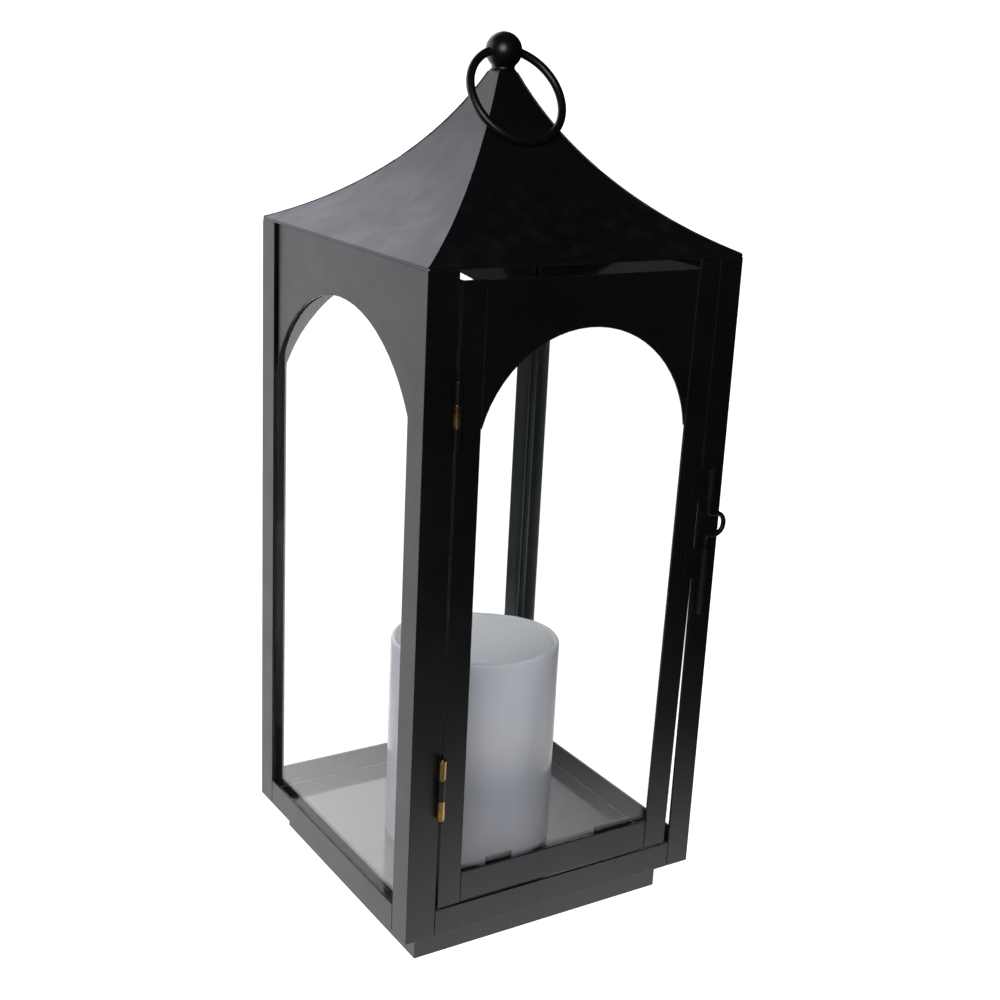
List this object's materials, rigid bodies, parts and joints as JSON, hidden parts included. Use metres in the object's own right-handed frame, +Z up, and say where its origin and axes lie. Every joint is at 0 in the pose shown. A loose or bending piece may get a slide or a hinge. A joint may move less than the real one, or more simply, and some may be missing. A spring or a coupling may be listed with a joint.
{
  "type": "solar lantern",
  "caption": "Square black metal lantern with arched glass sides, hinged latched door, concave roof with carrying ring and hollow LED candle.",
  "frame": {"origin": "middle of the flat underside of the base, where the lantern stands", "axes": "+Z up through the finial, -Y out through the door, +X towards the latch"},
  "size_m": [0.1516, 0.1547, 0.384],
  "materials": {
    "black_paint": "satin black powder coat",
    "bare_brass": "unpainted brass, worn bright",
    "steel": "zinc-plated steel",
    "clear_glass": "clear float glass, 2 mm",
    "frosted_plastic": "translucent frosted plastic, wax look",
    "flame_plastic": "moulded flame-shaped lens",
    "black_plastic": "moulded ABS",
    "solar_cell": "cell under clear resin",
    "rubber": "soft black grommet",
    "cable": "PVC insulation",
    "circuit_board": "solder mask",
    "battery_sleeve": "printed-free shrink sleeve"
  },
  "bodies": {
    "lantern_body": {"post_front_left": "black_paint", "post_front_right": "black_paint", "post_rear_right": "black_paint", "post_rear_left": "black_paint", "rail_front": "black_paint", "rail_rear": "black_paint", "rail_left": "black_paint", "rail_right": "black_paint", "arch_panel_left": "black_paint", "arch_panel_right": "black_paint", "arch_panel_rear": "black_paint", "pane_left": "clear_glass", "pane_right": "clear_glass", "pane_rear": "clear_glass", "plinth": "black_paint", "floor_plate": "black_paint", "base_cover": "black_plastic", "base_screw_1": "steel", "base_screw_2": "steel", "roof_front": "black_paint", "roof_right": "black_paint", "roof_rear": "black_paint", "roof_left": "black_paint", "finial_ball": "black_paint", "finial_collar": "black_paint", "finial_stud": "steel", "roof_clamp_plate": "steel", "door_stop": "black_paint", "upper_hinge_post_leaf": "black_paint", "upper_hinge_pin": "bare_brass", "lower_hinge_post_leaf": "bare_brass", "lower_hinge_pin": "bare_brass", "latch_keeper": "black_paint", "candle_shell": "frosted_plastic", "candle_base": "black_plastic", "candle_pool": "frosted_plastic", "candle_flame": "flame_plastic", "candle_lead": "cable", "solar_tray": "black_plastic", "solar_cell": "solar_cell", "lead_grommet": "rubber", "solar_lead": "cable", "battery_box": "black_plastic", "battery_cell": "battery_sleeve", "circuit_board": "circuit_board", "switch_body": "black_plastic"},
    "door": {"door_stile_hinge": "black_paint", "door_stile_latch": "black_paint", "door_rail": "black_paint", "door_arch_panel": "black_paint", "door_glass": "clear_glass", "door_clip_left": "black_paint", "door_clip_right": "black_paint", "upper_hinge_door_leaf": "bare_brass", "lower_hinge_door_leaf": "black_paint", "latch_strap_upper": "black_paint", "latch_strap_lower": "black_paint"},
    "bolt": {"latch_bolt": "black_paint"},
    "ring": {"carry_ring": "black_paint"},
    "switch": {"switch_slider": "black_plastic"}
  },
  "joints": [
    {"name": "door_hinge", "type": "hinge", "parent": "lantern_body", "child": "door", "pos_m": [-0.0615, -0.0769, 0.16], "axis": [0, 0, -1], "range_deg": [0, 175]},
    {"name": "bolt_slide", "type": "slide", "parent": "door", "child": "bolt", "axis": [0, 0, 1], "range_m": [-0.0042, 0.005]},
    {"name": "ring_swing", "type": "hinge", "parent": "lantern_body", "child": "ring", "pos_m": [0, 0, 0.3763], "axis": [-1, 0, 0], "range_deg": [0, 291]},
    {"name": "switch_slide", "type": "slide", "parent": "lantern_body", "child": "switch", "axis": [1, 0, 0], "range_m": [0, 0.004]}
  ]
}
